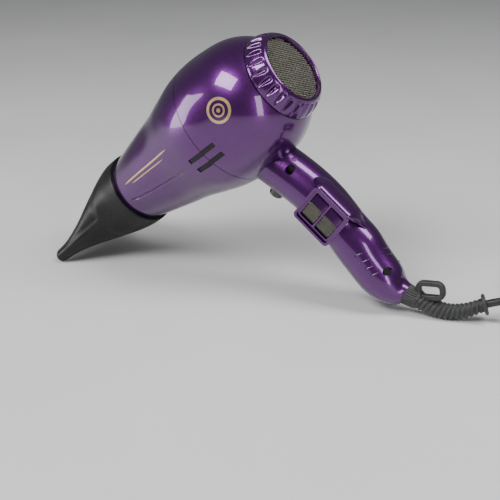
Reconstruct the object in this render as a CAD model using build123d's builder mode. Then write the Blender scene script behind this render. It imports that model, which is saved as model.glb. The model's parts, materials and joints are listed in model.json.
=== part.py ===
from build123d import *
import math
import os

os.makedirs("parts", exist_ok=True)

# ---------------------------------------------------------------- driving dimensions (mm)
TILT = 38.0            # the barrel axis rises this many degrees towards the rear
NOZZLE_ROLL = 12.6     # the concentrator is turned this much on the barrel
X0, Z0 = -98.99, 53.31   # centre of the concentrator's rim, in the row frame
WALL = 2.0
U_SEAM = 95.5          # front shell / rear shell joint, along the barrel
U_RING = 147.0         # rear shell / filter ring joint
U_MESH = 158.9         # outer face of the wire mesh
R_NECK = 23.8          # outlet tube that the concentrator grips
R_BORE = 23.86         # inside of the concentrator's cup
SLOT_HALF = 43.0       # half width of the concentrator's slot, outside
SLOT_THICK = 4.6       # half thickness of the concentrator's tip, outside
U_TIP = -69.9
CORD_D = 5.2
COIL_X, COIL_Y = X0 + 332.0, 54.6     # centre of the wound lead
COIL_RADII = [20.8, 26.0, 31.2, 36.4, 41.6]

ct, st = math.cos(math.radians(TILT)), math.sin(math.radians(TILT))
A = Vector(ct, 0, st)          # along the barrel, towards the rear
DV = Vector(st, 0, -ct)        # across the barrel, towards the grip
W = Vector(-st, 0, ct)
Y = Vector(0, 1, 0)


def rp(u, d, y=0.0):
    return Vector(X0 + u * ct + d * st, y, Z0 + u * st - d * ct)


PV = Plane(origin=rp(0, 0), x_dir=DV, z_dir=(0, -1, 0))      # sketch x = radius, y = along the barrel
AX = Axis(rp(0, 0), A)


def PX(u, d=0.0, y=0.0):       # cross-section: sketch x = row Y, y = away from the grip
    return Plane(origin=rp(u, d, y), x_dir=Y, z_dir=A)


def PXR(u, roll):              # cross-section turned by roll degrees about the barrel axis
    r = math.radians(roll)
    return Plane(origin=rp(u, 0), x_dir=Y * math.cos(r) + W * math.sin(r), z_dir=A)


def PY(y, u=0.0, d=0.0, turn=0.0):        # side face, looking towards +Y: sketch x = along the barrel, y = away from the grip
    t = math.radians(turn)
    return Plane(origin=rp(u, d, y), x_dir=A * math.cos(t) + W * math.sin(t), z_dir=(0, -1, 0))


# outside radius of the barrel against the distance along it
PROFILE = [(0.3, 24.66), (17.25, 28.3), (34.5, 31.7), (51.75, 35.1), (69.0, 39.8), (84.0, 43.3),
           (95.5, 44.4), (102.4, 44.5), (115.0, 43.5), (128.8, 41.0), (139.2, 36.2), (147.0, 29.6)]


def save(part, name):
    part.label = name
    export_step(part, "parts/" + name + ".step")


def spl(pts, inset=0.0):
    return [(r - inset, u) for u, r in pts]


# the whole outside form of the barrel, used to trim the grip
with BuildPart() as barrel_form:
    with BuildSketch(PV):
        with BuildLine():
            Polyline((24.78, 0.3), (0, 0.3), (0, 147), (29.72, 147))
            Spline(*spl(PROFILE, -0.12))
        make_face()
    revolve(axis=AX)

# ---------------------------------------------------------------- barrel shells
FRONT = [p for p in PROFILE if p[0] < 90] + [(95.3, 44.38)]
REAR = [(95.7, 44.4)] + [p for p in PROFILE if 100 < p[0] < 145] + [(147.0, 29.6)]
with BuildPart() as front_shell:
    with BuildSketch(PV):
        with BuildLine():
            Polyline((R_NECK - WALL, -13), (R_NECK, -13), (R_NECK, 0.3), (24.66, 0.3))
            Spline(*spl(FRONT))
            Line((44.38, 95.3), (44.38 - WALL, 95.3))
            Spline(*spl(FRONT[1:], WALL))
            Polyline((28.3 - WALL, 17.25), (R_NECK - WALL, 0.3), (R_NECK - WALL, -13))
        make_face()
    revolve(axis=AX)
    # louvre pockets on each side, straddling the rear edge
    with BuildSketch(PX(82.0)):
        with Locations((-38, -12.5), (38, -12.5)):
            Rectangle(24, 3.0)
        with Locations((-38, -20.0), (38, -20.0)):
            Rectangle(24, 3.0)
    extrude(amount=40, mode=Mode.SUBTRACT)

with BuildPart() as rear_shell:
    with BuildSketch(PV):
        with BuildLine():
            Line((44.4 - WALL, 95.7), (44.4, 95.7))
            Spline(*spl(REAR))
            Line((29.6, 147.0), (29.6 - 1.6, 147.0))
            Spline((28.0, 147.0), (34.0, 138.6), (38.9, 128.4), (41.4, 115.0), (42.4, 102.4), (42.4, 95.7))
        make_face()
    revolve(axis=AX)
    with BuildSketch(PX(94.0)):
        with Locations((-38, -12.5), (38, -12.5)):
            Rectangle(24, 3.0)
        with Locations((-38, -20.0), (38, -20.0)):
            Rectangle(24, 3.0)
    extrude(amount=13, mode=Mode.SUBTRACT)
    # passage into the grip
    with BuildSketch(Plane(origin=rp(112, 30), x_dir=Y, z_dir=DV)):
        Circle(9)
    extrude(amount=20, mode=Mode.SUBTRACT)
    # seat for the filter ring
    with BuildSketch(PV):
        with Locations((26.8, 146.0)):
            Rectangle(2.6, 2.0)
    revolve(axis=AX)

with BuildPart() as vent_inserts:
    with BuildSketch(PX(82.6)):
        with Locations((-38, -12.5), (38, -12.5)):
            Rectangle(24, 2.6)
        with Locations((-38, -20.0), (38, -20.0)):
            Rectangle(24, 2.6)
    extrude(amount=24)
    with BuildSketch(PV):
        with BuildLine():
            Line((60, 60), (37.2, 60))
            Spline((37.2, 60), (39.5, 69.0), (43.0, 84), (44.1, 95.5), (44.2, 102.4), (43.2, 115))
            Polyline((43.2, 115), (60, 115), (60, 60))
        make_face()
    revolve(axis=AX, mode=Mode.SUBTRACT)
    with BuildSketch(PV):
        with BuildLine():
            Line((0, 60), (34.0, 60))
            Spline((34.0, 60), (36.6, 69.0), (40.3, 84), (41.6, 95.5), (41.7, 102.4), (40.6, 115))
            Polyline((40.6, 115), (0, 115), (0, 60))
        make_face()
    revolve(axis=AX, mode=Mode.SUBTRACT)

# ---------------------------------------------------------------- filter ring, mesh and its retainer (one turning cap)
with BuildPart() as filter_ring:
    with BuildSketch(PV):
        with BuildLine():
            Polyline((25.0, 147.4), (29.5, 147.4), (29.9, 149.5), (29.2, 153.5), (27.2, 157.6), (25.4, 160.2),
                     (23.6, 161.0), (22.4, 160.2), (22.4, 156.2), (25.0, 156.2), (25.0, 147.4))
        make_face()
    revolve(axis=AX)
    with BuildSketch(PX(147.2)):
        with PolarLocations(31.6, 28):
            Circle(2.5)
    extrude(amount=8, mode=Mode.SUBTRACT)

with BuildPart() as filter_mesh:
    with BuildSketch(PX(157.6)):
        Circle(22.35)
    extrude(amount=0.6)
    with BuildSketch(PX(156.2)):
        Circle(22.35)
        Circle(20.6, mode=Mode.SUBTRACT)
    extrude(amount=1.4)

with BuildPart() as mesh_retainer:
    with BuildSketch(PX(152.0)):
        Circle(24.95)
        Circle(20.6, mode=Mode.SUBTRACT)
    extrude(amount=4.15)
    with BuildSketch(PX(152.0)):
        Rectangle(44, 1.6)
        Rectangle(1.6, 44)
        Circle(10)
        Circle(8.4, mode=Mode.SUBTRACT)
    extrude(amount=2.0)

# ---------------------------------------------------------------- concentrator nozzle


NZ_OUT = [(0.0, 26.9, 26.9, 26.6), (-13.0, 26.3, 26.3, 26.0), (-30.0, 30.6, 19.4, 19.2),
          (-48.0, 37.4, 9.6, 9.4), (-60.0, 41.0, 5.6, 5.4), (U_TIP, SLOT_HALF, SLOT_THICK, 4.4)]
NZ_IN = [(-13.5, 23.86, 23.86, 23.6), (-30.0, 28.4, 17.2, 17.0), (-48.0, 35.2, 7.6, 7.4),
         (-60.0, 39.2, 4.5, 4.3), (U_TIP - 0.5, SLOT_HALF - 1.6, SLOT_THICK - 0.85, 3.6)]
with BuildPart() as concentrator_nozzle:
    for u, a, b, r in NZ_OUT:
        with BuildSketch(PXR(u, NOZZLE_ROLL)):
            RectangleRounded(2 * a, 2 * b, r)
    loft()
    for u, a, b, r in NZ_IN:
        with BuildSketch(PXR(u, NOZZLE_ROLL)):
            RectangleRounded(2 * a, 2 * b, r)
    loft(mode=Mode.SUBTRACT)
    with BuildSketch(PX(-13.6)):
        Circle(R_BORE)
    extrude(amount=14, mode=Mode.SUBTRACT)

# ---------------------------------------------------------------- outlet grille, heater and heat guard
with BuildPart() as outlet_grille:
    with BuildSketch(PX(-12.0)):
        Circle(21.7)
        Circle(20.2, mode=Mode.SUBTRACT)
    extrude(amount=6)
    with BuildSketch(PX(-11.0)):
        Circle(14)
        Circle(12.8, mode=Mode.SUBTRACT)
        Circle(7)
        Circle(5.8, mode=Mode.SUBTRACT)
        with PolarLocations(13.4, 8):
            Rectangle(14.4, 1.2)
    extrude(amount=2)

with BuildPart() as heat_sleeve:
    with BuildSketch(PX(2.0)):
        Circle(21.6)
        Circle(21.0, mode=Mode.SUBTRACT)
    extrude(amount=58)

with BuildPart() as heater_board_long:
    with BuildSketch(PY(0.4, 4, 0)):
        with BuildLine():
            Polyline((0, 19.5), (54, 19.5), (54, -19.5), (0, -19.5), (0, 19.5))
        make_face()
    extrude(amount=0.8)
    with BuildSketch(PY(1.0, 4, 0)):
        with Locations((13.5, 0)):
            Rectangle(27.4, 1.2)
    extrude(amount=2, mode=Mode.SUBTRACT)

with BuildPart() as heater_board_cross:
    with BuildSketch(Plane(origin=rp(4, -0.4), x_dir=A, z_dir=DV)):
        with BuildLine():
            Polyline((0, 19.5), (54, 19.5), (54, -19.5), (0, -19.5), (0, 19.5))
        make_face()
    extrude(amount=0.8)
    with BuildSketch(Plane(origin=rp(4, -1.0), x_dir=A, z_dir=DV)):
        with Locations((40.6, 0)):
            Rectangle(27.0, 1.2)
    extrude(amount=2, mode=Mode.SUBTRACT)

with BuildPart() as heater_coils:
    for k in range(7):
        with BuildSketch(PV):
            with Locations((20.1, 10 + 7.0 * k)):
                Circle(0.55)
        revolve(axis=AX)

with BuildPart() as thermostat:
    with BuildSketch(PX(40.0, -9, 9)):
        Circle(5.0)
    extrude(amount=5)
    with BuildSketch(PX(38.5, -9, 9)):
        Rectangle(3, 7)
    extrude(amount=1.5)

with BuildPart() as thermal_fuse:
    with BuildSketch(PX(28.0, -9, -9)):
        Circle(2.2)
    extrude(amount=13)

# ---------------------------------------------------------------- motor, fan and their duct
with BuildPart() as motor_duct:
    with BuildSketch(PV):
        with BuildLine():
            Polyline((21.2, 60.6), (22.2, 60.6), (34.6, 84.0), (37.4, 92.0), (37.4, 126.0), (36.2, 126.0), (36.2, 92.6),
                     (33.4, 84.6), (21.2, 61.4), (21.2, 60.6))
        make_face()
    revolve(axis=AX)
    with BuildSketch(PX(84.0)):
        Circle(18.2)
        Circle(16.2, mode=Mode.SUBTRACT)
    extrude(amount=19)
    with BuildSketch(PX(86.0)):
        with PolarLocations(26.0, 7):
            Rectangle(16.6, 1.4)
    extrude(amount=14)
    # keep the vanes inside the duct's taper
    with BuildSketch(PV):
        with BuildLine():
            Polyline((38.4, 80), (50, 80), (50, 130), (38.4, 130), (38.4, 80))
        make_face()
    revolve(axis=AX, mode=Mode.SUBTRACT)

with BuildPart() as duct_ring:
    with BuildSketch(PX(122.5)):
        Circle(38.4)
        Circle(37.45, mode=Mode.SUBTRACT)
    extrude(amount=3.0)

with BuildPart() as motor_can:
    with BuildSketch(PX(78.0)):
        Circle(16.1)
    extrude(amount=26)
    with BuildSketch(PX(79.5)):
        Circle(14.6)
    extrude(amount=23, mode=Mode.SUBTRACT)
    with BuildSketch(PX(77.0)):
        Circle(4.0)
    extrude(amount=30, mode=Mode.SUBTRACT)

with BuildPart() as motor_magnets:
    with BuildSketch(PX(81.0)):
        Circle(14.55)
        Circle(12.2, mode=Mode.SUBTRACT)
        Rectangle(40, 6, mode=Mode.SUBTRACT)
    extrude(amount=19)

with BuildPart() as rotor_core:
    with BuildSketch(PX(83.0)):
        Circle(11.4)
        with PolarLocations(9.4, 5):
            Circle(2.4, mode=Mode.SUBTRACT)
        Circle(1.5, mode=Mode.SUBTRACT)
    extrude(amount=15)

with BuildPart() as motor_shaft:
    with BuildSketch(PX(76.6)):
        Circle(1.5)
    extrude(amount=44.0)

with BuildPart() as motor_bearings:
    for u in (78.2, 101.4):
        with BuildSketch(PX(u)):
            Circle(3.95)
            Circle(1.56, mode=Mode.SUBTRACT)
        extrude(amount=2.6)

with BuildPart() as fan_impeller:
    with BuildSketch(PX(108.0)):
        Circle(15.0)
        Circle(1.5, mode=Mode.SUBTRACT)
    extrude(amount=12)
    with BuildSketch(PX(107.0)):
        Circle(13.0)
        Circle(4.0, mode=Mode.SUBTRACT)
    extrude(amount=9.5, mode=Mode.SUBTRACT)
    for k in range(9):
        an = 2 * math.pi * k / 9
        rad = Y * math.cos(an) + W * math.sin(an)
        tan = W * math.cos(an) - Y * math.sin(an)
        ctr = rp(114, 0) + rad * 14.6
        axd = A * math.cos(math.radians(40)) + tan * math.sin(math.radians(40))
        with BuildSketch(Plane(origin=ctr, x_dir=axd, z_dir=rad)):
            Rectangle(13, 1.3)
        extrude(amount=20.6)

# ---------------------------------------------------------------- grip: two half shells
STATIONS = [(28.0, 103.0, 17.0, 16.0), (48.3, 112.6, 15.6, 15.9), (60.0, 117.6, 15.5, 16.0), (72.0, 121.8, 15.5, 16.0),
            (88.0, 125.2, 15.5, 16.0), (105.8, 127.0, 15.5, 16.0), (128.0, 128.6, 15.5, 16.0), (141.0, 129.7, 14.9, 15.2),
            (150.0, 131.9, 12.8, 13.2), (155.6, 134.6, 9.9, 10.4), (159.2, 137.9, 7.2, 7.4)]


def st_plane(i):
    n = len(STATIONS)
    if i == n - 1:
        t = (0.5, 0.87)
    else:
        a, b = STATIONS[max(i - 1, 0)], STATIONS[min(i + 1, n - 1)]
        t = (b[1] - a[1], b[0] - a[0])
    m = math.hypot(*t)
    return Plane(origin=rp(STATIONS[i][1], STATIONS[i][0]), x_dir=Y, z_dir=A * (t[0] / m) + DV * (t[1] / m))


with BuildPart() as grip_form:
    for i, (d, u, a, b) in enumerate(STATIONS):
        with BuildSketch(st_plane(i)):
            Ellipse(b, a)
    loft()
    add(barrel_form.part, mode=Mode.SUBTRACT)

with BuildPart() as grip_hollow:
    for i, (d, u, a, b) in enumerate(STATIONS):
        with BuildSketch(st_plane(i)):
            Ellipse(b - WALL, a - WALL)
    loft()

# pocket for the switch frame on the near side, and the cooling button's opening at the front
SW = PY(-10.0, 127.0, 87.4, 13.5)       # switch plate plane, leaning with the grip
bt_dir = (A * -0.93 + DV * 0.36).normalized()
BT = Plane(origin=rp(114.4, 51.6), x_dir=Y, z_dir=bt_dir)     # cooling button, on the front of the grip


def trim_half(side):
    with BuildPart() as h:
        add(grip_form.part)
        add(grip_hollow.part, mode=Mode.SUBTRACT)
        with BuildSketch(PY(-6.0, 127.0, 87.4, 13.5)):
            RectangleRounded(22.6, 27.0, 2.5)
        extrude(amount=16, mode=Mode.SUBTRACT)
        with BuildSketch(BT.offset(7.0)):
            Circle(5.35)
        extrude(amount=17, mode=Mode.SUBTRACT)
        split(bisect_by=Plane(origin=(0, side * 0.05, 0), x_dir=(1, 0, 0), z_dir=(0, side, 0)), keep=Keep.TOP)
        # screw seats
        for (u, d) in ((124.0, 51.5), (142.0, 139.5)):
            with BuildSketch(PY(-16.5, u, d)):
                Circle(1.2)
            extrude(amount=-28.0, mode=Mode.SUBTRACT)
            if side < 0:
                with BuildSketch(PY(-16.5, u, d)):
                    Circle(2.9)
                extrude(amount=-7.5, mode=Mode.SUBTRACT)
    return h


grip_near = trim_half(-1)
grip_far = trim_half(1)

with BuildPart() as grip_screws:
    for (u, d) in ((124.0, 51.5), (142.0, 139.5)):
        with BuildSketch(PY(-9.0, u, d)):
            Circle(2.6)
        extrude(amount=2.2)
        with BuildSketch(PY(-9.0, u, d)):
            Circle(1.15)
        extrude(amount=-16)

# ---------------------------------------------------------------- switches on the near side
with BuildPart() as switch_frame:
    with BuildSketch(PY(-5.0, 127.0, 87.4, 13.5)):
        RectangleRounded(28.0, 30.6, 3.0)
    extrude(amount=12.6)
    add(grip_form.part, mode=Mode.SUBTRACT)
    with BuildSketch(PY(-10.2, 127.0, 87.4, 13.5)):
        RectangleRounded(22.4, 26.8, 2.4)
    extrude(amount=5.9)
    with BuildSketch(PY(-16.1, 127.0, 87.4, 13.5)):
        RectangleRounded(24.6, 27.2, 2.0)
    extrude(amount=2, mode=Mode.SUBTRACT)
    with BuildSketch(PY(-4.0, 127.0, 87.4, 13.5)):
        with Locations((0, 6.4), (0, -6.4)):
            RectangleRounded(20.6, 11.4, 1.0)
    extrude(amount=16, mode=Mode.SUBTRACT)
    with BuildSketch(Plane(origin=SW.origin + Vector(0, -4.0, 0) - SW.y_dir * 12.6, x_dir=SW.x_dir, z_dir=SW.y_dir)):
        Circle(0.8)
    extrude(amount=25.2, mode=Mode.SUBTRACT)

with BuildPart() as rocker_pin:
    with BuildSketch(Plane(origin=SW.origin + Vector(0, -4.0, 0) - SW.y_dir * 12.6, x_dir=SW.x_dir, z_dir=SW.y_dir)):
        Circle(0.8)
    extrude(amount=25.2)


def switch_body(dy):
    with BuildPart() as b:
        with BuildSketch(PY(-2.6, 127.0, 87.4, 13.5)):
            with Locations((0, dy)):
                Rectangle(14.8, 11.0)
        extrude(amount=6.6)
    return b


speed_switch = switch_body(6.4)
heat_switch = switch_body(-6.4)


def rocker(dy):
    with BuildPart() as b:
        with BuildSketch(Plane(origin=SW.origin + SW.y_dir * (dy - 5.3), x_dir=SW.x_dir, z_dir=SW.y_dir)):
            # section across the rocker: x along its length, y towards the inside of the grip
            with BuildLine():
                Polyline((-9.4, -5.4), (-8.6, -6.9), (-5.0, -6.5), (0, -6.1), (5.0, -6.5), (8.6, -6.9), (9.4, -5.4),
                         (9.0, -3.9), (3.0, -2.2), (-3.0, -2.2), (-9.0, -3.9), (-9.4, -5.4))
            make_face()
            with Locations((0, -4.0)):
                Circle(0.87, mode=Mode.SUBTRACT)
        extrude(amount=10.6)
    return b


speed_rocker = rocker(6.4)
heat_rocker = rocker(-6.4)

# ---------------------------------------------------------------- cooling button at the front of the grip
with BuildPart() as cool_button:
    with BuildSketch(BT.offset(10.8)):
        Circle(5.0)
    extrude(amount=9.6)
    fillet(cool_button.faces().sort_by(Axis(BT.origin, bt_dir))[-1].edges(), 1.2)
    with BuildSketch(BT.offset(9.6)):
        Circle(6.0)
    extrude(amount=1.4)

with BuildPart() as cool_spring:
    with BuildSketch(BT.offset(4.9)):
        Circle(3.4)
        Circle(2.6, mode=Mode.SUBTRACT)
    extrude(amount=4.7)

with BuildPart() as cool_switch:
    with BuildSketch(BT.offset(-3.0)):
        Rectangle(12.0, 8.0)
    extrude(amount=7.8)

# ---------------------------------------------------------------- electrical parts inside the grip
with BuildPart() as control_board:
    with BuildSketch(PY(2.4, 128.6, 118.0, -4.0)):
        Rectangle(19, 30)
    extrude(amount=1.6)

with BuildPart() as ion_generator:
    with BuildSketch(PY(9.6, 128.6, 118.0, -4.0)):
        Rectangle(14, 24)
    extrude(amount=7.0)

with BuildPart() as terminal_block:
    with BuildSketch(PY(-2.6, 129.5, 118.0, -4.0)):
        Rectangle(12, 14)
    extrude(amount=6.0)

# ---------------------------------------------------------------- cord collar, strain relief, hanging loop
END = st_plane(len(STATIONS) - 1)
with BuildPart() as cord_clamp:
    with BuildSketch(END.offset(-7.0)):
        Circle(5.0)
        Circle(CORD_D / 2 + 0.05, mode=Mode.SUBTRACT)
    extrude(amount=4.0)

RELIEF = [(X0 + 215.4, 0.2, 10.07, 6.0), (X0 + 226.0, 1.0, 6.57, 5.6), (X0 + 236.0, 2.6, 5.27, 5.2),
          (X0 + 246.0, 5.2, 7.27, 4.8), (X0 + 255.6, 8.6, 11.57, 4.4)]
E4 = Vector(0.88, 0.38, 0.30).normalized()
with BuildPart() as strain_relief:
    for i, (x, y, z, r) in enumerate(RELIEF):
        a = Vector(*RELIEF[max(i - 1, 0)][:3])
        b = Vector(*RELIEF[min(i + 1, len(RELIEF) - 1)][:3])
        t = (b - a).normalized()
        if i == 0:
            t = END.z_dir
        if i == len(RELIEF) - 1:
            t = E4
        with BuildSketch(Plane(origin=(x, y, z), z_dir=t)):
            Circle(r)
    loft()

S0 = Vector(*RELIEF[0][:3])
S4 = Vector(*RELIEF[-1][:3])
with BuildPart() as cord_collar:
    with BuildSketch(Plane(origin=END.origin, x_dir=Y, z_dir=END.z_dir)):
        Circle(7.2)
    with BuildSketch(Plane(origin=S0, x_dir=Y, z_dir=END.z_dir)):
        Circle(6.6)
    loft()

with BuildPart() as relief_flange:
    with BuildSketch(Plane(origin=S4, z_dir=E4)):
        Circle(7.0)
    extrude(amount=2.4)

# ---------------------------------------------------------------- mains lead: straight runs joined by tangent arcs
LEAD0 = S4 + E4 * 2.4
ROUTE = [tuple(LEAD0), tuple(LEAD0 + E4 * 12.5), (X0 + 283.0, 19.0, 14.6), (X0 + 298.0, 19.8, 8.9),
         (X0 + 313.5, 16.0, 3.4), (COIL_X, COIL_Y - COIL_RADII[-1], CORD_D / 2)]


def route_radii(pts):
    out = []
    for i in range(1, len(pts) - 1):
        p, q, r = Vector(*pts[i - 1]), Vector(*pts[i]), Vector(*pts[i + 1])
        turn = math.radians((q - p).get_angle(r - q))
        out.append(0.45 * min((q - p).length, (r - q).length) / math.tan(turn / 2))
    return out


RADII = route_radii(ROUTE)
print("lead radii", [round(r, 1) for r in RADII], "in diameters", [round(r / CORD_D, 1) for r in RADII])
print("lead runs", [round((Vector(*b) - Vector(*a)).length, 1) for a, b in zip(ROUTE, ROUTE[1:])])
with BuildPart() as mains_lead:
    with BuildLine() as lead_path:
        FilletPolyline(*ROUTE, radius=RADII)
    with BuildSketch(Plane(origin=ROUTE[0], z_dir=(Vector(*ROUTE[1]) - Vector(*ROUTE[0])))):
        Circle(CORD_D / 2)
    sweep(path=lead_path.wires()[0])
print("lead length", round(lead_path.wires()[0].length, 1), "volume ratio",
      round(mains_lead.part.volume / (math.pi * (CORD_D / 2) ** 2 * lead_path.wires()[0].length), 4))

COIL_H = 2 * CORD_D
with BuildPart() as lead_coil:
    with BuildSketch(Plane(origin=(COIL_X, COIL_Y, 0), x_dir=(1, 0, 0), z_dir=(0, -1, 0))):
        with Locations(((COIL_RADII[0] + COIL_RADII[-1]) / 2, COIL_H / 2)):
            RectangleRounded(COIL_RADII[-1] - COIL_RADII[0] + CORD_D, COIL_H, 2.4)
    revolve(axis=Axis((COIL_X, COIL_Y, 0), (0, 0, 1)))
    with BuildSketch(Plane(origin=(COIL_X, COIL_Y - 3.0, 0), x_dir=(1, 0, 0), z_dir=(0, 1, 0))):
        with Locations(((COIL_RADII[0] + COIL_RADII[-1]) / 2, -COIL_H / 2)):
            RectangleRounded(COIL_RADII[-1] - COIL_RADII[0] + CORD_D + 3, COIL_H + 3, 2.4)
            RectangleRounded(COIL_RADII[-1] - COIL_RADII[0] + CORD_D - 2.2, COIL_H - 2.0, 2.0, mode=Mode.SUBTRACT)
    extrude(amount=6.0, mode=Mode.SUBTRACT)

with BuildPart() as lead_tie:
    with BuildSketch(Plane(origin=(COIL_X, COIL_Y - 2.8, 0), x_dir=(1, 0, 0), z_dir=(0, 1, 0))):
        with Locations(((COIL_RADII[0] + COIL_RADII[-1]) / 2, -COIL_H / 2)):
            RectangleRounded(COIL_RADII[-1] - COIL_RADII[0] + CORD_D - 0.2, COIL_H, 2.4)
            RectangleRounded(COIL_RADII[-1] - COIL_RADII[0] + CORD_D - 2.2, COIL_H - 2.0, 2.0, mode=Mode.SUBTRACT)
    extrude(amount=5.6)

# the last of the lead, from the top of the coil round to the plug, which lies on the coil
TAIL = [(COIL_X + 40.7 * math.cos(math.radians(-60)), COIL_Y + 40.7 * math.sin(math.radians(-60)), 7.8)]
for heading, z in ((30, 8.6), (55, 10.8), (80, 13.4), (105, 16.4), (130, 20.0), (155, 23.5), (180, 23.5)):
    TAIL.append((TAIL[-1][0] + 13.3 * math.cos(math.radians(heading)), TAIL[-1][1] + 13.3 * math.sin(math.radians(heading)), z))
TAIL_RADII = route_radii(TAIL)
print("tail", [tuple(round(c, 3) for c in p) for p in TAIL], "radii", [round(r, 1) for r in TAIL_RADII])
with BuildPart() as lead_tail:
    with BuildLine() as tail_path:
        FilletPolyline(*TAIL, radius=TAIL_RADII)
    with BuildSketch(Plane(origin=TAIL[0], z_dir=(Vector(*TAIL[1]) - Vector(*TAIL[0])))):
        Circle(CORD_D / 2)
    sweep(path=tail_path.wires()[0])

# ---------------------------------------------------------------- plug, lying on the coil with its pins towards -X
PLUG_Y, PLUG_Z = TAIL[-1][1], 23.5
PLUG_X = TAIL[-1][0] - 10.0      # the relief's narrow end is 10 mm further on
with BuildPart() as plug_body:
    with BuildSketch(Plane(origin=(PLUG_X - 12, PLUG_Y, PLUG_Z), x_dir=(0, 1, 0), z_dir=(-1, 0, 0))):
        RectangleRounded(22, 18, 8)
    with BuildSketch(Plane(origin=(PLUG_X - 24, PLUG_Y, PLUG_Z), x_dir=(0, 1, 0), z_dir=(-1, 0, 0))):
        RectangleRounded(32, 25.4, 11.5)
    with BuildSketch(Plane(origin=(PLUG_X - 34, PLUG_Y, PLUG_Z), x_dir=(0, 1, 0), z_dir=(-1, 0, 0))):
        RectangleRounded(35, 26, 12)
    with BuildSketch(Plane(origin=(PLUG_X - 40, PLUG_Y, PLUG_Z), x_dir=(0, 1, 0), z_dir=(-1, 0, 0))):
        RectangleRounded(35, 26, 12)
    loft()
    for s in (-9.5, 9.5):
        with BuildSketch(Plane(origin=(PLUG_X - 40, PLUG_Y + s, PLUG_Z), x_dir=(0, 1, 0), z_dir=(-1, 0, 0))):
            Circle(1.7)
        extrude(amount=-8, mode=Mode.SUBTRACT)

with BuildPart() as plug_pins:
    for s in (-9.5, 9.5):
        with BuildSketch(Plane(origin=(PLUG_X - 32, PLUG_Y + s, PLUG_Z), x_dir=(0, 1, 0), z_dir=(-1, 0, 0))):
            Circle(1.7)
        extrude(amount=9)
        with BuildSketch(Plane(origin=(PLUG_X - 40, PLUG_Y + s, PLUG_Z), x_dir=(0, 1, 0), z_dir=(-1, 0, 0))):
            Circle(2.4)
        extrude(amount=19)

with BuildPart() as plug_relief:
    with BuildSketch(Plane(origin=(PLUG_X - 12, PLUG_Y, PLUG_Z), x_dir=(0, 1, 0), z_dir=(1, 0, 0))):
        Circle(6.0)
    with BuildSketch(Plane(origin=(PLUG_X + 10, PLUG_Y, PLUG_Z), x_dir=(0, 1, 0), z_dir=(1, 0, 0))):
        Circle(3.6)
    loft()

# ---------------------------------------------------------------- hanging loop on the collar
LP = Plane(origin=(X0 + 223.5, 0, 18.6), x_dir=(0.97, 0, 0.12), z_dir=(0, -1, 0))
with BuildPart() as hang_loop:
    with BuildSketch(Plane(origin=LP.origin + Vector(0, 2.2, 0), x_dir=LP.x_dir, z_dir=(0, -1, 0))):
        RectangleRounded(20, 13, 5.0)
        RectangleRounded(12.4, 6.0, 2.6, mode=Mode.SUBTRACT)
    extrude(amount=4.4)
    add(strain_relief.part, mode=Mode.SUBTRACT)
    add(cord_collar.part, mode=Mode.SUBTRACT)
    add(grip_form.part, mode=Mode.SUBTRACT)

# ---------------------------------------------------------------- write every piece
PIECES = dict(front_shell=front_shell, rear_shell=rear_shell, vent_inserts=vent_inserts, filter_ring=filter_ring,
              filter_mesh=filter_mesh, mesh_retainer=mesh_retainer, concentrator_nozzle=concentrator_nozzle,
              outlet_grille=outlet_grille, heat_sleeve=heat_sleeve, heater_board_long=heater_board_long,
              heater_board_cross=heater_board_cross, heater_coils=heater_coils, thermostat=thermostat,
              thermal_fuse=thermal_fuse, motor_duct=motor_duct, duct_ring=duct_ring, motor_can=motor_can,
              motor_magnets=motor_magnets, rotor_core=rotor_core, motor_shaft=motor_shaft,
              motor_bearings=motor_bearings, fan_impeller=fan_impeller, grip_near=grip_near, grip_far=grip_far,
              grip_screws=grip_screws, switch_frame=switch_frame, rocker_pin=rocker_pin, speed_switch=speed_switch,
              heat_switch=heat_switch, speed_rocker=speed_rocker, heat_rocker=heat_rocker, cool_button=cool_button,
              cool_spring=cool_spring, cool_switch=cool_switch, control_board=control_board,
              ion_generator=ion_generator, terminal_block=terminal_block, cord_clamp=cord_clamp,
              cord_collar=cord_collar, strain_relief=strain_relief, relief_flange=relief_flange,
              hang_loop=hang_loop, mains_lead=mains_lead, lead_coil=lead_coil, lead_tie=lead_tie, lead_tail=lead_tail,
              plug_body=plug_body, plug_pins=plug_pins, plug_relief=plug_relief)
for name, block in PIECES.items():
    save(block.part, name)
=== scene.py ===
import json
import math

import bpy
import numpy as np
from mathutils import Matrix, Vector


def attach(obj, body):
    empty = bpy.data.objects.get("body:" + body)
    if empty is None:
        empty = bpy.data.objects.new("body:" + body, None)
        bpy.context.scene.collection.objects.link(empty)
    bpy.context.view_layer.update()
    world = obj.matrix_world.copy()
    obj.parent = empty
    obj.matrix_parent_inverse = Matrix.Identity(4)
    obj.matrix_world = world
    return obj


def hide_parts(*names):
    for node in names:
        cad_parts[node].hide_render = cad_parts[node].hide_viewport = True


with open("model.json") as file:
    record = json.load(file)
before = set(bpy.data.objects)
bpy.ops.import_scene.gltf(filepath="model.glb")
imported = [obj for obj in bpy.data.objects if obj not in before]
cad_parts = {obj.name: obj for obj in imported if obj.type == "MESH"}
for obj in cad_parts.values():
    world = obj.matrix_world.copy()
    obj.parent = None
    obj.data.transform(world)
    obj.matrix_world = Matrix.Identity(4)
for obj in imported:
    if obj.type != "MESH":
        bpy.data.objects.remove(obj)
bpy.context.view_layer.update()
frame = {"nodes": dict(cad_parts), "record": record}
NODES = frame["nodes"]
SLOT_OF = {s["node"]: s["material_slot"] for s in frame["record"]["subparts"]}

# ------------------------------------------------------------------ shared dimensions, mm (as in the part)
MM = 0.001
X0, Z0 = -98.99, 53.31
ct, st = math.cos(math.radians(38.0)), math.sin(math.radians(38.0))
A = np.array([ct, 0, st])
DV = np.array([st, 0, -ct])
W = -DV
Y = np.array([0, 1.0, 0])
ROLL = math.radians(12.6)
COIL_X, COIL_Y = X0 + 332.0, 54.6
CORD_D = 5.2


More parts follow.
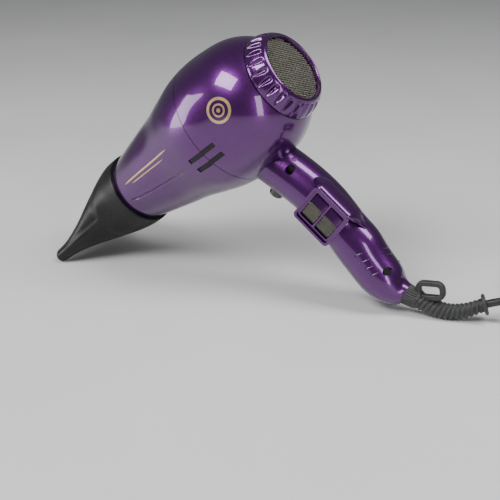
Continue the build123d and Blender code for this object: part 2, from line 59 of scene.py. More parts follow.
def rp(u, d, y=0.0):
    return np.array([X0 + u * ct + d * st, y, Z0 + u * st - d * ct])


def unit(v):
    v = np.asarray(v, float)
    return v / np.linalg.norm(v)


def smooth(x, a, b):
    t = np.clip((np.asarray(x, float) - a) / (b - a), 0, 1)
    return t * t * (3 - 2 * t)


def curve_through(pts, xs):
    """Monotone-ish cubic through (x, y...) stations, as columns."""
    p = np.asarray(pts, float)
    x, v = p[:, 0], p[:, 1:]
    m = np.gradient(v, x, axis=0)
    out = []
    for q in np.atleast_1d(xs):
        i = int(np.clip(np.searchsorted(x, q) - 1, 0, len(x) - 2))
        h = x[i + 1] - x[i]
        t = (q - x[i]) / h
        out.append((2 * t**3 - 3 * t**2 + 1) * v[i] + (t**3 - 2 * t**2 + t) * h * m[i]
                   + (-2 * t**3 + 3 * t**2) * v[i + 1] + (t**3 - t**2) * h * m[i + 1])
    return np.array(out)


# ------------------------------------------------------------------ camera
CAM_F, CAM_R = unit([-0.4458, 0.7881, -0.4245]), unit([0.8704, 0.4924, 0.0])
CAM_U = np.cross(CAM_R, CAM_F)
c_, s_ = math.cos(math.radians(-1.19)), math.sin(math.radians(-1.19))
R2, U2 = c_ * CAM_R + s_ * CAM_U, -s_ * CAM_R + c_ * CAM_U
cam_data = bpy.data.cameras.new("camera")
cam = bpy.data.objects.new("camera", cam_data)
bpy.context.scene.collection.objects.link(cam)
m = Matrix.Identity(4)
for i in range(3):
    m[i][0], m[i][1], m[i][2] = R2[i], U2[i], -CAM_F[i]
m[0][3], m[1][3], m[2][3] = 0.3247, -0.5455, 0.2956
cam.matrix_world = m
cam_data.lens, cam_data.sensor_width, cam_data.sensor_fit = 72.0, 36.0, "HORIZONTAL"
cam_data.shift_x, cam_data.shift_y = -0.0648, 0.0636
cam_data.clip_start, cam_data.clip_end = 0.01, 50
bpy.context.scene.camera = cam

# ------------------------------------------------------------------ materials


def material(name, low, high, rough=(0.3, 0.4), metallic=0.0, coat=0.0, coat_rough=0.05, scale=120.0, bump=0.0,
             bump_scale=900.0, spec=0.5, detail=6.0, aniso=0.0, wave=None, sheen=0.0):
    """Colour runs between low and high over a fine noise; roughness and bump follow noises of their own."""
    mt = bpy.data.materials.new(name)
    mt.use_nodes = True
    nt = mt.node_tree
    n, ln = nt.nodes, nt.links
    b = n["Principled BSDF"]
    tc = n.new("ShaderNodeTexCoord")
    nz = n.new("ShaderNodeTexNoise")
    nz.inputs["Scale"].default_value = scale
    nz.inputs["Detail"].default_value = detail
    ln.new(tc.outputs["Object"], nz.inputs["Vector"])
    rp_ = n.new("ShaderNodeValToRGB")
    rp_.color_ramp.elements[0].position, rp_.color_ramp.elements[1].position = 0.3, 0.7
    rp_.color_ramp.elements[0].color = (*low, 1)
    rp_.color_ramp.elements[1].color = (*high, 1)
    ln.new(nz.outputs["Fac"], rp_.inputs["Fac"])
    ln.new(rp_.outputs["Color"], b.inputs["Base Color"])
    nr = n.new("ShaderNodeTexNoise")
    nr.inputs["Scale"].default_value = scale * 0.35
    nr.inputs["Detail"].default_value = 4.0
    ln.new(tc.outputs["Object"], nr.inputs["Vector"])
    mr = n.new("ShaderNodeMapRange")
    mr.inputs["From Min"].default_value, mr.inputs["From Max"].default_value = 0.3, 0.7
    mr.inputs["To Min"].default_value, mr.inputs["To Max"].default_value = rough
    ln.new(nr.outputs["Fac"], mr.inputs["Value"])
    ln.new(mr.outputs["Result"], b.inputs["Roughness"])
    b.inputs["Metallic"].default_value = metallic
    b.inputs["Coat Weight"].default_value = coat
    b.inputs["Coat Roughness"].default_value = coat_rough
    b.inputs["Specular IOR Level"].default_value = spec
    b.inputs["Anisotropic"].default_value = aniso
    b.inputs["Sheen Weight"].default_value = sheen
    if bump > 0:
        nb = n.new("ShaderNodeTexNoise")
        nb.inputs["Scale"].default_value = bump_scale
        nb.inputs["Detail"].default_value = 3.0
        ln.new(tc.outputs["Object"], nb.inputs["Vector"])
        bp = n.new("ShaderNodeBump")
        bp.inputs["Strength"].default_value = bump
        bp.inputs["Distance"].default_value = 0.0002
        ln.new(nb.outputs["Fac"], bp.inputs["Height"])
        ln.new(bp.outputs["Normal"], b.inputs["Normal"])
    return mt


VIOLET = dict(low=(0.062, 0.006, 0.098), high=(0.104, 0.013, 0.150), rough=(0.27, 0.34), metallic=0.82, coat=1.0,
              coat_rough=0.03, scale=2600.0, bump=0.012, bump_scale=3200.0)
M = {
    "shell_gloss": material("violet_lacquer_barrel", **VIOLET),
    "grip_gloss": material("violet_lacquer_grip", **VIOLET),
    "ring_gloss": material("violet_lacquer_ring", **{**VIOLET, "rough": (0.2, 0.3)}),
    "frame_gloss": material("violet_lacquer_frame", **{**VIOLET, "rough": (0.14, 0.22), "metallic": 0.85}),
    "nozzle_black": material("nozzle_satin_black", (0.006, 0.006, 0.0065), (0.011, 0.011, 0.0115), (0.34, 0.44), scale=500, spec=0.32,
                             bump=0.25, bump_scale=1800),
    "trim_black": material("trim_black", (0.008, 0.008, 0.009), (0.016, 0.016, 0.017), (0.38, 0.5), scale=400, bump=0.1, spec=0.25),
    "mesh_steel": material("woven_steel", (0.30, 0.29, 0.235), (0.46, 0.45, 0.38), (0.3, 0.42), 0.85, scale=500),
    "rocker_grey": material("rocker_grey", (0.055, 0.052, 0.041), (0.075, 0.071, 0.056), (0.34, 0.42), scale=260, bump=0.05,
                            bump_scale=3000),
    "button_black": material("button_black", (0.02, 0.018, 0.026), (0.032, 0.03, 0.04), (0.25, 0.35), coat=0.4, scale=500),
    "relief_rubber": material("relief_rubber", (0.012, 0.012, 0.013), (0.026, 0.026, 0.027), (0.42, 0.58), scale=350,
                              bump=0.35, bump_scale=1500, sheen=0.1),
    "lead_rubber": material("lead_sheath", (0.010, 0.010, 0.011), (0.020, 0.020, 0.021), (0.36, 0.48), scale=300,
                            bump=0.25, bump_scale=1200),
    "plug_rubber": material("plug_moulding", (0.012, 0.012, 0.013), (0.022, 0.022, 0.023), (0.42, 0.54), scale=420, bump=0.3,
                            bump_scale=1600),
    "pin_nickel": material("nickel_pins", (0.58, 0.57, 0.54), (0.70, 0.69, 0.66), (0.18, 0.3), 1.0, scale=700, bump=0.08),
    "mica": material("mica_board", (0.48, 0.42, 0.30), (0.66, 0.60, 0.46), (0.3, 0.6), scale=180, bump=0.3, detail=10),
    "heater_wire": material("heater_wire", (0.30, 0.27, 0.25), (0.45, 0.42, 0.40), (0.35, 0.5), 0.9, scale=600),
    "steel": material("zinc_steel", (0.42, 0.42, 0.42), (0.58, 0.58, 0.57), (0.28, 0.42), 1.0, scale=350, bump=0.15),
    "magnet": material("ferrite", (0.06, 0.06, 0.065), (0.11, 0.11, 0.115), (0.5, 0.7), scale=500, bump=0.4),
    "brass": material("sintered_bronze", (0.55, 0.38, 0.16), (0.72, 0.52, 0.25), (0.35, 0.5), 1.0, scale=900, bump=0.3),
    "fan_plastic": material("fan_black", (0.025, 0.025, 0.025), (0.045, 0.045, 0.045), (0.4, 0.55), scale=500, bump=0.2),
    "duct_plastic": material("duct_grey", (0.22, 0.21, 0.19), (0.30, 0.29, 0.27), (0.45, 0.6), scale=500, bump=0.25),
    "board_green": material("board_green", (0.02, 0.13, 0.05), (0.04, 0.20, 0.09), (0.3, 0.45), coat=0.4, scale=260),
    "module_black": material("module_black", (0.015, 0.015, 0.018), (0.03, 0.03, 0.035), (0.15, 0.3), scale=260, bump=0.1),
    "terminal_white": material("terminal_white", (0.62, 0.61, 0.57), (0.75, 0.74, 0.70), (0.4, 0.55), scale=400, bump=0.1),
    "spring_steel": material("spring_steel", (0.45, 0.45, 0.46), (0.60, 0.60, 0.62), (0.25, 0.4), 1.0, scale=500),
}
# screw heads coloured near-black: painted shade of the screw recesses, so the screw holes read dark
SCREW_PAINTED_SHADE = material("screw_painted_recess_shade", (0.010, 0.010, 0.010), (0.028, 0.027, 0.026), (0.35, 0.5), 0.8, scale=900, bump=0.2)
GOLD = material("gold_print", (0.62, 0.42, 0.17), (0.78, 0.57, 0.27), (0.28, 0.4), 0.85, coat=0.6, scale=900)
for name, obj in NODES.items():
    obj.data.materials.clear()
    obj.data.materials.append(SCREW_PAINTED_SHADE if name == "grip_screws" else M[SLOT_OF[name]])

# ------------------------------------------------------------------ mesh helpers


def add_mesh(name, verts, faces, mat, body, replaces=(), angle=38.0):
    me = bpy.data.meshes.new(name)
    me.from_pydata([tuple(v) for v in np.asarray(verts, float) * MM], [], [tuple(f) for f in faces])
    me.validate()
    me.shade_smooth()
    me.set_sharp_from_angle(angle=math.radians(angle))
    me.materials.append(mat)
    o = bpy.data.objects.new(name, me)
    bpy.context.scene.collection.objects.link(o)
    bm_fix(me)
    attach(o, body)
    if replaces:
        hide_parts(*replaces)
    return o


def bm_fix(me):
    import bmesh
    bm = bmesh.new()
    bm.from_mesh(me)
    bmesh.ops.remove_doubles(bm, verts=bm.verts, dist=1e-7)
    bmesh.ops.recalc_face_normals(bm, faces=bm.faces)
    bm.to_mesh(me)
    bm.free()


def rings(rows, closed_loop=False, cap=True):
    """Faces over rows of equal-length rings; the rings close on themselves."""
    rows = [np.asarray(r, float) for r in rows]
    n, k = len(rows[0]), len(rows)
    verts = np.concatenate(rows)
    faces = []
    for i in range(k if closed_loop else k - 1):
        a, b = i * n, ((i + 1) % k) * n
        for j in range(n):
            j2 = (j + 1) % n
            faces.append((a + j, a + j2, b + j2, b + j))
    if cap and not closed_loop:
        for base, flip in ((0, True), ((k - 1) * n, False)):
            c = len(verts)
            verts = np.vstack([verts, verts[base:base + n].mean(0)])
            for j in range(n):
                j2 = (j + 1) % n
                faces.append((c, base + j2, base + j) if flip else (c, base + j, base + j2))
    return verts, faces


def join(parts):
    vs, fs, k = [], [], 0
    for v, f in parts:
        vs.append(np.asarray(v, float))
        fs += [tuple(i + k for i in q) for q in f]
        k += len(v)
    return np.concatenate(vs), fs


def frame_for(z, hint):
    z = unit(z)
    x = unit(np.asarray(hint, float) - z * np.dot(hint, z))
    return x, np.cross(z, x), z


def tube(path, radii, n=16, hint=(0, 0, 1.0), cap=True):
    path = np.asarray(path, float)
    radii = np.broadcast_to(radii, (len(path),))
    rows = []
    t = np.gradient(path, axis=0)
    for p, d, r in zip(path, t, radii):
        x, y, _ = frame_for(d, hint)
        an = np.linspace(0, 2 * math.pi, n, endpoint=False)
        rows.append(p + r * (np.outer(np.cos(an), x) + np.outer(np.sin(an), y)))
    return rings(rows, cap=cap)


def around(u, r, phi):
    """Point on the barrel: phi from the top towards the switch side (-Y)."""
    return rp(u, 0) + r * (math.cos(phi) * W - math.sin(phi) * Y)


# ------------------------------------------------------------------ the lead: route, coil, tail (points as in the part)
LEAD0 = np.array([158.713, 9.508, 12.287])
PTS = [LEAD0, (169.665, 14.237, 16.021), (184.01, 19.0, 14.6), (199.01, 19.8, 8.9), (214.51, 16.0, 3.4)]
K = 16
grow = 1 / 0.981


def coil_point(turn, r, z):
    an = math.radians(-90) + 2 * math.pi * turn
    return (COIL_X + r * grow * math.cos(an), COIL_Y + r * grow * math.sin(an), z)


PTS.append((COIL_X, COIL_Y - 41.6 * grow, 2.62))
for i in range(1, 4 * K + 1):
    PTS.append(coil_point(i / K, 41.6 - 5.2 * i / K, 2.62))
for i in range(1, K // 4 + 1):
    PTS.append(coil_point(4 + i / K, 20.8, 2.62 + 5.18 * i / (K / 4)))
for i in range(1, int(3.75 * K) + 1):
    PTS.append(coil_point(4.25 + i / K, 20.8 + 5.2 * i / K, 7.8))
tail = [np.array([COIL_X + 40.7 * math.cos(math.radians(-60)), COIL_Y + 40.7 * math.sin(math.radians(-60)), 7.8])]
for heading, z in ((30, 8.6), (55, 10.8), (80, 13.4), (105, 16.4), (130, 20.0), (155, 23.5), (180, 23.5)):
    q = tail[-1] + 13.3 * np.array([math.cos(math.radians(heading)), math.sin(math.radians(heading)), 0])
    tail.append(np.array([q[0], q[1], z]))
PTS += [tuple(q) for q in tail]
cu = bpy.data.curves.new("mains_cord", "CURVE")
cu.dimensions = "3D"
sp = cu.splines.new("NURBS")
sp.points.add(len(PTS) - 1)
for q, p in zip(sp.points, PTS):
    q.co = (p[0] * MM, p[1] * MM, p[2] * MM, 1)
sp.order_u = 3
sp.use_endpoint_u = True
sp.resolution_u = 6
cu.bevel_depth = CORD_D / 2 * MM
cu.bevel_resolution = 5
cu.use_fill_caps = True
cu.materials.append(M["lead_rubber"])
cord = bpy.data.objects.new("mains_cord", cu)
bpy.context.scene.collection.objects.link(cord)
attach(cord, "root")
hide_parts("mains_lead", "lead_coil", "lead_tail")

P = np.array(PTS, float)
for i in range(1, len(P) - 1):
    a = P[0] if i == 1 else (P[i - 1] + P[i]) / 2
    b = P[-1] if i == len(P) - 2 else (P[i] + P[i + 1]) / 2

# ------------------------------------------------------------------ front shell with its side crease and louvres
PROFILE = [(0.3, 24.66), (17.25, 28.3), (34.5, 31.7), (51.75, 35.1), (69.0, 39.8), (84.0, 43.3), (95.5, 44.4),
           (102.4, 44.5), (115.0, 43.5), (128.8, 41.0), (139.2, 36.2), (147.0, 29.6)]


def radius(u):
    return float(curve_through(PROFILE, [u])[0][0])


def crease_phi(u):
    return math.radians(float(np.interp(u, [3, 14, 30, 50, 76], [102, 107, 109.5, 110.5, 112])))


SLOTS = []
for wv in (-12.5, -20.0):
    for e in (-1.5, 1.5):
        SLOTS.append(wv + e)


def build_front():
    us = sorted(set([0.3, 0.6, 1.2] + list(np.linspace(2, 80, 66)) + [81.95, 82.05] + list(np.linspace(84, 95.0, 10)) + [95.2, 95.3]))
    base = list(np.linspace(0, 180, 73))
    fine_ = list(np.arange(99, 118, 0.3))
    edges = []
    for wv in SLOTS:
        for d in (-0.05, 0.05):
            edges.append(math.degrees(math.acos((wv + d) / 43.9)))
    half = sorted(set([round(x, 3) for x in base + fine_ + edges]))
    full = half + [360 - x for x in reversed(half) if 0 < x < 180]
    rows = []
    for u in us:
        r0 = radius(u)
        row = []
        for ph in full:
            p = math.radians(ph if ph <= 180 else 360 - ph)
            r = r0
            g = (p - crease_phi(u)) * r0
            on = float(smooth(u, 3, 15) * (1 - smooth(u, 60, 75)))
            r -= 1.05 * on * math.exp(-(g / 0.85) ** 2)
            r -= 0.65 * on * float(smooth(g, -0.4, 0.6) * (1 - smooth(g, 4.0, 15.0)))
            r += 0.30 * on * math.exp(-((g + 1.5) / 1.2) ** 2)
            w_ = r0 * math.cos(p)
            if u > 82.0 and (-14.0 < w_ * 43.9 / r0 < -11.0 or -21.5 < w_ * 43.9 / r0 < -18.5):
                r = r0 - 1.85
            row.append(around(u, r, p if ph <= 180 else -p))
        rows.append(row)
    inner = []
    for u, r in [(95.3, 42.38), (84, 41.3), (69, 37.8), (51.75, 33.1), (34.5, 29.7), (17.25, 26.3), (0.3, 21.8), (-13, 21.8), (-13, 23.8), (0.2, 23.8), (0.3, 23.9)]:
        inner.append([around(u, r, math.radians(ph if ph <= 180 else ph - 360)) for ph in full])
    return rings(rows + inner, closed_loop=True)


v, f = build_front()
add_mesh("barrel_front", v, f, M["shell_gloss"], "root", ("front_shell",), angle=40)


def patch(name, cells, mat, body="root", lift=0.07, seed=-1):
    """Thin raised print on the barrel: cells are grids of (u, phi) points."""
    parts = []
    for grid in cells:
        g = np.asarray(grid, float)
        nu, nv = g.shape[:2]
        top = [around(u, radius(u) + lift, ph) for u, ph in g.reshape(-1, 2)]
        bot = [around(u, radius(u) - 0.12, ph) for u, ph in g.reshape(-1, 2)]
        fs = []
        for i in range(nu - 1):
            for j in range(nv - 1):
                a = i * nv + j
                fs.append((a, a + nv, a + nv + 1, a + 1))
                k = nu * nv
                fs.append((k + a, k + a + 1, k + a + nv + 1, k + a + nv))
        k = nu * nv
        loop = [j for j in range(nv)] + [i * nv + nv - 1 for i in range(1, nu)] + [(nu - 1) * nv + j for j in range(nv - 2, -1, -1)] \
            + [i * nv for i in range(nu - 2, 0, -1)]
        for a, b in zip(loop, loop[1:] + loop[:1]):
            fs.append((a, b, k + b, k + a))
        parts.append((np.array(top + bot), fs))
    vv, ff = join(parts)
    return add_mesh(name, vv, ff, mat, body, angle=30)


def stripe(u0, u1, p0, p1, half_w):
    us = np.linspace(u0, u1, 40)
    out = []
    for u in us:
        pc = np.interp(u, [u0, u1], [p0, p1])
        hw = half_w * min(1.0, (u - u0) / 6 + 0.12, (u1 - u) / 6 + 0.12)
        out.append([(u, math.radians(pc) + k * hw / radius(u)) for k in (-1, -0.33, 0.33, 1)])
    return out


def ring_cells(uc, pc, r0, r1, n=56):
    out = []
    for a0 in np.linspace(0, 2 * math.pi, n + 1):
        out.append([(uc + r * math.cos(a0), math.radians(pc) + r * math.sin(a0) / radius(uc)) for r in (r0, (r0 + r1) / 2, r1)])
    return out


patch("gold_pinstripes", [stripe(12, 70, 80, 84, 0.55), stripe(20, 62, 86, 89, 0.35)], GOLD)
patch("gold_ring_mark", [ring_cells(124, 87, 6.4, 8.2), ring_cells(124, 87, 3.1, 4.2), ring_cells(124, 87, 0.15, 1.3)], GOLD)

# ------------------------------------------------------------------ scalloped filter ring
RING = [(147.4, 29.45), (148.2, 29.75), (149.5, 29.75), (151.5, 29.35), (153.5, 28.75), (155.5, 27.95), (157.3, 27.0), (158.8, 26.0),
        (160.0, 24.9), (160.7, 23.9), (161.0, 23.2), (160.8, 22.65), (160.2, 22.4), (157.0, 22.4), (156.2, 22.6), (156.2, 25.0), (147.4, 25.0)]
NL = 26
SEG = 32
rows = []
dense = []
for a, b in zip(RING, RING[1:]):
    k = 8 if a[1] > 25.5 and b[1] > 25.5 else 2
    dense += [(a[0] + (b[0] - a[0]) * i / k, a[1] + (b[1] - a[1]) * i / k) for i in range(k)]
for u, r in dense + [RING[-1]]:
    row = []
    dep = 1.9 * float(smooth(u, 147.6, 155.0)) * (1 - float(smooth(u, 156.8, 159.6))) if r > 25.5 else 0.0
    wid = 0.05 + 0.33 * float(np.clip((u - 147.4) / 9.5, 0, 1))
    for k in range(NL * SEG):
        t = (k / SEG) % 1.0 - 0.5
        x = abs(t) / wid
        cut = dep * (0.5 + 0.5 * math.cos(x * math.pi) if x < 1 else 0.0)
        row.append(around(u, r - cut, 2 * math.pi * k / (NL * SEG)))
    rows.append(row)
v, f = rings(rows, closed_loop=True)
add_mesh("scalloped_ring", v, f, M["ring_gloss"], "filter_cap", ("filter_ring",), angle=75)

# ------------------------------------------------------------------ woven wire cloth
wa = unit(Y - 0.439 * W)
wb = unit(W + 0.439 * Y)
parts = []
PITCH, PITCH2, RM, UM = 1.68, 1.5, 22.2, 157.7
ni = int(RM / PITCH)
for i in range(-ni, ni + 1):
    b = i * PITCH
    half = math.sqrt(max(RM * RM - b * b, 0))
    xs = np.arange(-half, half + 0.01, PITCH2 / 2)
    path = [rp(UM, 0) + wa * x + wb * b + A * (0.10 * math.cos(math.pi * x / PITCH2 + math.pi * i)) for x in xs]
    if len(path) > 3:
        parts.append(tube(path, 0.31, n=8, hint=A))
nj = int(RM / PITCH2)
for j in range(-nj, nj + 1):
    x = j * PITCH2
    half = math.sqrt(max(RM * RM - x * x, 0))
    bs = np.arange(-half, half + 0.01, PITCH / 2)
    path = [rp(UM, 0) + wa * x + wb * b - A * (0.2 * math.cos(math.pi * b / PITCH + math.pi * j) + 0.38) for b in bs]
    if len(path) > 3:
        parts.append(tube(path, 0.13, n=6, hint=A))
v, f = join(parts)
add_mesh("wire_cloth", v, f, M["mesh_steel"], "filter_cap", ("filter_mesh",), angle=70)

# ------------------------------------------------------------------ concentrator
NZ_OUT = [(-69.9, 43.0, 4.6, 4.4), (-60, 41.0, 5.6, 5.4), (-48, 37.4, 9.6, 9.4), (-30, 30.6, 19.4, 19.2), (-13, 26.3, 26.3, 26.0), (0, 26.9, 26.9, 26.6)]
NZ_IN = [(-69.9, 41.4, 3.75, 3.6), (-60, 39.2, 4.5, 4.3), (-48, 35.2, 7.6, 7.4), (-30, 28.4, 17.2, 17.0), (-13.5, 23.86, 23.86, 23.6)]
NX = Y * math.cos(ROLL) + W * math.sin(ROLL)
NY = np.cross(A, NX)


def stadium(a, b, r, bead=0.0, edge=0.0):
    r = min(r, a - 0.05, b - 0.05)
    pts = []
    for cx, cy, a0 in ((a - r, b - r, 0), (-(a - r), b - r, 90), (-(a - r), -(b - r), 180), (a - r, -(b - r), 270)):
        for t in np.linspace(a0, a0 + 90, 44):
            pts.append((cx + r * math.cos(math.radians(t)), cy + r * math.sin(math.radians(t))))
        if a0 in (0, 180):
            s = 1 if a0 == 0 else -1
            for t in np.linspace(1, -1, 62)[1:-1]:
                x = s * t * (a - r)
                g = abs(x) - (a - r - 0.9)
                dent = bead * math.exp(-(g / 0.75) ** 2)
                pts.append((x, s * (b - dent)))
        else:
            side = -1 if a0 == 90 else 1
            for t in np.linspace(1, -1, 6)[1:-1]:
                pts.append((side * a, -side * t * (b - r)))
    pts = np.array(pts)
    lift = np.exp(-(np.abs(pts[:, 1]) / 3.7) ** 4) * np.clip((np.abs(pts[:, 0]) - 0.6 * a) / (0.2 * a), 0, 1)
    pts[:, 0] = pts[:, 0] * (a - 1.25 * edge) / a + np.sign(pts[:, 0]) * 1.25 * edge * lift
    return pts


def nz_ring(u, sec):
    return [rp(u, 0) + NX * x + NY * y for x, y in sec]


rows = []
for u in list(np.linspace(0, -69.0, 60)) + [-69.6, -69.9]:
    a, b, r = curve_through(NZ_OUT, [u])[0]
    a, b = min(a, 43.0), max(b, 4.6)
    inset = {-69.6: 0.12, -69.9: 0.4}.get(round(u, 2), 0.25 if u > -0.01 else 0.0)
    rows.append(nz_ring(u, stadium(a - inset, b - inset, r - inset, bead=0.4 * float(smooth(-u, 30, 45)), edge=float(smooth(-u, 23, 29)))))
for u in [-69.9] + list(np.linspace(-68, -13.6, 34)):
    a, b, r = curve_through(NZ_IN, [u])[0]
    rows.append(nz_ring(u, stadium(a, b, r)))
rows.append(nz_ring(-13.4, stadium(23.9, 23.9, 23.7)))
rows.append(nz_ring(0, stadium(23.9, 23.9, 23.7)))
v, f = rings(rows, closed_loop=True)
add_mesh("concentrator", v, f, M["nozzle_black"], "nozzle", ("concentrator_nozzle",), angle=42)

# ------------------------------------------------------------------ grip details: four ribs, raised marks on the back
ST = [(28.0, 103.0, 17.0, 16.0), (48.3, 112.6, 15.6, 15.9), (60.0, 117.6, 15.5, 16.0), (72.0, 121.8, 15.5, 16.0), (88.0, 125.2, 15.5, 16.0),
      (105.8, 127.0, 15.5, 16.0), (128.0, 128.6, 15.5, 16.0), (141.0, 129.7, 14.9, 15.2), (150.0, 131.9, 12.8, 13.2), (155.6, 134.6, 9.9, 10.4)]


def grip_side(u, d, lift=0.0):
    uc, a, b = curve_through(ST, [d])[0]
    k = min(abs(u - uc) / a, 0.98)
    return rp(u, d, -(b + lift) * math.sqrt(1 - k * k))


def grip_back(y, d, lift=0.0):
    uc, a, b = curve_through(ST, [d])[0]
    return rp(uc + (a + lift) * math.sqrt(max(1 - (y / b) ** 2, 0.01)), d, y)


parts = []
for (u0, d0), (u1, d1) in (((129.6, 120.0), (136.2, 120.9)), ((131.0, 125.6), (137.6, 126.6)), ((131.0, 130.6), (137.2, 131.6)), ((131.6, 136.0), (137.3, 136.9))):
    ts = np.linspace(0, 1, 15)
    path = [grip_side(u0 + (u1 - u0) * t, d0 + (d1 - d0) * t, 0.12) for t in ts]
    rad = [0.62 * math.sqrt(max(1 - abs(2 * t - 1) ** 6, 0.02)) for t in ts]
    parts.append(tube(path, rad, n=12, hint=(0, 1, 0)))
v, f = join(parts)
add_mesh("grip_ribs", v, f, M["grip_gloss"], "root", angle=60)

parts = []
for dc, rr in ((98.5, 3.4), (107.5, 2.5)):
    an = np.linspace(0, 2 * math.pi, 40)
    path = np.array([grip_back(rr * math.sin(t), dc + rr * math.cos(t), 0.08) for t in an])
    parts.append(tube(path, 0.42, n=10, hint=A, cap=True))
for dc in (113.5, 118.0, 122.5, 127.0, 131.5):
    path = [grip_back(y, dc + 0.25 * y, 0.06) for y in np.linspace(-3.0, 3.0, 11)]
    rad = [0.42 * math.sqrt(max(1 - abs(t) ** 5, 0.03)) for t in np.linspace(-1, 1, 11)]
    parts.append(tube(path, rad, n=10, hint=A))
v, f = join(parts)
add_mesh("grip_raised_marks", v, f, M["grip_gloss"], "root", angle=60)

# ------------------------------------------------------------------ ridged rockers
TS = math.radians(13.5)
SX = A * math.cos(TS) + W * math.sin(TS)
SY = np.cross(np.array([0, -1.0, 0]), SX)
SO = rp(127.0, 87.4, -10.0)


def rocker(name, node, dy, body):
    xs = np.linspace(-9.2, 9.2, 93)
    top = []
    for x in xs:
        if x < 2.6:
            base, ridge = 5.8, 1.05 * sum(math.exp(-((x - c) / 0.72) ** 2) for c in (-7.0, -4.3, -1.6, 1.1))
        else:
            base, ridge = 6.75 - 0.24 * (x - 2.6), 0.0
        edge = 1.2 * float(smooth(abs(x), 8.2, 9.4))
        top.append((x, -(min(base + ridge, 6.9) - edge)))
    under = [(9.3, -5.2), (9.0, -3.9), (3.0, -2.2), (-3.0, -2.2), (-9.0, -3.9), (-9.3, -5.2)]
    sec = np.array(top + under)
    c = sec.mean(0)
    rows = []
    for yv, k in ((-5.3, 0.93), (-5.1, 0.985), (-4.7, 1.0), (0, 1.0), (4.7, 1.0), (5.1, 0.985), (5.3, 0.93)):
        s2 = c + (sec - c) * k
        rows.append([SO + SX * x + SY * (dy + yv) + Y * z for x, z in s2])
    vv, ff = rings(rows)
    o = add_mesh(name, vv, ff, M["rocker_grey"], body, (node,), angle=48)
    o.data.materials.append(M["frame_gloss"])
    for poly in o.data.polygons:
        c3 = np.array(poly.center) / MM - SO
        if np.dot(c3, SX) > 2.65 and c3[1] < -4.0:
            poly.material_index = 1
    return o


rocker("speed_rocker_ridged", "speed_rocker", 6.4, "speed_rocker")
rocker("heat_rocker_ridged", "heat_rocker", -6.4, "heat_rocker")

# fairing that carries the switch frame's rear edge down to the grip
FAIR = [(13.6, -17.0), (14.4, -16.7), (15.0, -15.9), (15.5, -14.6), (15.9, -12.6), (16.1, -10.0), (16.1, -7.4), (15.9, -5.0), (15.4, -2.5), (12.5, -2.5), (12.5, -14.0)]
rows = []
for yv in np.linspace(-25, 25, 81):
    k = float(smooth(25 - abs(yv), 0, 13.0))
    row = []
    for x, z in FAIR:
        row.append(rp(127.0, 87.4, 0) + SX * (9.0 + (x - 9.0) * (0.25 + 0.75 * k)) + SY * yv + Y * (-2.5 + (z + 2.5) * (0.25 + 0.75 * k)))
    rows.append(row)
v, f = rings(rows)
add_mesh("switch_fairing", v, f, M["grip_gloss"], "root", angle=60)

# ------------------------------------------------------------------ ribbed collar, spiral strain relief, flange, loop
END_O, END_Z = rp(137.9, 159.2), unit(A * 0.5 + DV * 0.87)
RELIEF = np.array([(X0 + 215.4, 0.2, 10.07, 6.0), (X0 + 226.0, 1.0, 6.57, 5.6), (X0 + 236.0, 2.6, 5.27, 5.2), (X0 + 246.0, 5.2, 7.27, 4.8),
                   (X0 + 255.6, 8.6, 11.57, 4.4)])
S0, S4, E4 = RELIEF[0, :3], RELIEF[-1, :3], unit([0.88, 0.38, 0.30])
rows = []
n = 208
for t in np.linspace(0, 1, 24):
    p = END_O + (S0 - END_O) * t
    r = 7.2 + (6.6 - 7.2) * t
    cut = 0.5 * float(smooth(t, 0.02, 0.12) * (1 - smooth(t, 0.86, 0.97)))
    x, y, _ = frame_for(END_Z, Y)
    rows.append([p + (r - cut * (0.5 - 0.5 * math.cos(26 * q)) ** 1.5) * (x * math.cos(q) + y * math.sin(q)) for q in np.linspace(0, 2 * math.pi, n, endpoint=False)])
v, f = rings(rows)
add_mesh("ribbed_collar", v, f, M["relief_rubber"], "root", ("cord_collar",), angle=60)

sp_t = np.arange(len(RELIEF), dtype=float)
table = np.column_stack([sp_t, RELIEF])
tt = np.linspace(0, len(RELIEF) - 1, 190)
cen = curve_through(table, tt)
arc = np.concatenate([[0], np.cumsum(np.linalg.norm(np.diff(cen[:, :3], axis=0), axis=1))])
tan = np.gradient(cen[:, :3], axis=0)
tan[0], tan[-1] = END_Z, E4
rows = []
for p, s, d in zip(cen, arc, tan):
    x, y, _ = frame_for(d, Y)
    q = np.linspace(0, 2 * math.pi, 84, endpoint=False)
    ph = 2 * math.pi * s / 3.15 + 3 * q
    groove = np.clip(0.5 - 0.5 * np.cos(ph), 0, 1) ** 1.4
    on = float(smooth(s, 0.6, 2.0) * (1 - smooth(s, arc[-1] - 2.2, arc[-1] - 0.8)))
    r = p[3] + 0.12 - 0.95 * on * groove
    lowest = p[2] + r * (x[2] * np.cos(q) + y[2] * np.sin(q))
    ring = p[:3] + r[:, None] * (np.outer(np.cos(q), x) + np.outer(np.sin(q), y))
    ring[:, 2] = np.maximum(ring[:, 2], 0.05)
    rows.append(ring)
v, f = rings(rows)
add_mesh("spiral_relief", v, f, M["relief_rubber"], "root", ("strain_relief",), angle=60)


def lathe(origin, z, prof, n=64, hint=(0, 1.0, 0)):
    x, y, zz = frame_for(z, hint)
    q = np.linspace(0, 2 * math.pi, n, endpoint=False)
    rows_ = [np.asarray(origin) + zz * h + r * (np.outer(np.cos(q), x) + np.outer(np.sin(q), y)) for r, h in prof]
    return rings(rows_)


v, f = lathe(S4, E4, [(4.3, 0.0), (6.2, 0.05), (6.8, 0.35), (7.0, 0.9), (7.0, 1.5), (6.8, 2.0), (6.2, 2.35), (4.0, 2.2), (3.2, 2.0), (2.9, 2.38)])
add_mesh("relief_disc", v, f, M["relief_rubber"], "root", ("relief_flange",), angle=50)

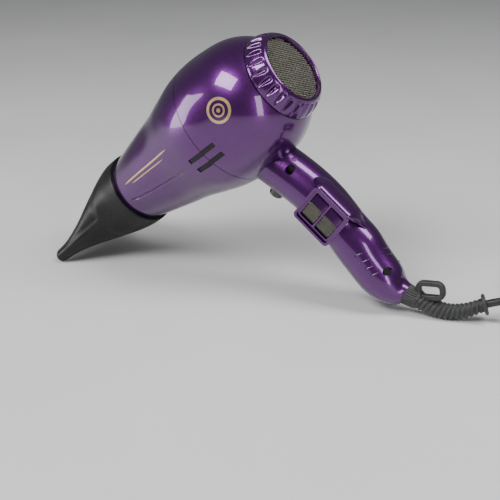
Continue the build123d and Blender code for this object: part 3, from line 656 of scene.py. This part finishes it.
LO = np.array([X0 + 223.5, 0, 18.6])
lx = unit([0.97, 0, 0.12])
lz = np.cross(lx, [0, -1.0, 0]) * -1
lz = unit(np.array([-lx[2], 0, lx[0]]))
path = []
for cx, cy, a0 in ((4.4, 1.05, 0), (-4.4, 1.05, 90), (-4.4, -1.05, 180), (4.4, -1.05, 270)):
    for t in np.linspace(a0, a0 + 90, 12):
        path.append((cx + 3.7 * math.cos(math.radians(t)), cy + 3.7 * math.sin(math.radians(t))))
rows = []
k = len(path)
for i in range(k):
    p, q0, q1 = np.array(path[i]), np.array(path[i - 1]), np.array(path[(i + 1) % k])
    d = q1 - q0
    nn = unit(np.array([d[1], -d[0], 0]))
    out = lx * nn[0] + lz * nn[1]
    c = LO + lx * p[0] + lz * p[1]
    ring = []
    for q in np.linspace(0, 2 * math.pi, 24, endpoint=False):
        cs, sn = math.cos(q), math.sin(q)
        ring.append(c + out * 1.85 * math.copysign(abs(cs) ** 0.6, cs) + Y * 2.15 * math.copysign(abs(sn) ** 0.6, sn))
    rows.append(ring)
v, f = rings(rows, closed_loop=True)
add_mesh("hanging_eye", v, f, M["relief_rubber"], "root", ("hang_loop",), angle=50)

# ------------------------------------------------------------------ floor, light
fl = bpy.data.meshes.new("floor")
fl.from_pydata([(-4, -4, 0), (4, -4, 0), (4, 4, 0), (-4, 4, 0)], [], [(0, 1, 2, 3)])
floor = bpy.data.objects.new("floor", fl)
bpy.context.scene.collection.objects.link(floor)
fl.materials.append(material("pale_floor", (0.60, 0.60, 0.60), (0.64, 0.64, 0.635), (0.55, 0.65), scale=6.0, spec=0.3))

world = bpy.data.worlds.new("studio")
bpy.context.scene.world = world
world.use_nodes = True
world.node_tree.nodes["Background"].inputs["Color"].default_value = (0.82, 0.84, 0.88, 1)
world.node_tree.nodes["Background"].inputs["Strength"].default_value = 0.16


def area(name, loc, target, size, power, size_y=None):
    ld = bpy.data.lights.new(name, "AREA")
    ld.shape = "RECTANGLE"
    ld.size, ld.size_y = size, size_y or size
    ld.energy = power
    o = bpy.data.objects.new(name, ld)
    bpy.context.scene.collection.objects.link(o)
    o.location = loc
    o.rotation_mode = "QUATERNION"
    o.rotation_quaternion = (Vector(target) - Vector(loc)).to_track_quat("-Z", "Y")
    return o


area("key", (-0.30, -0.80, 1.05), (0, 0, 0.08), 0.75, 17.0, 0.5)
area("top", (0.55, 0.10, 0.95), (0.02, 0, 0.08), 0.35, 10.0, 0.9)
area("side", (1.0, -0.75, 0.30), (0.05, 0, 0.08), 0.25, 5.0, 0.9)
area("front", (-0.9, -0.55, 0.25), (-0.05, 0, 0.08), 0.35, 4.0, 0.5)
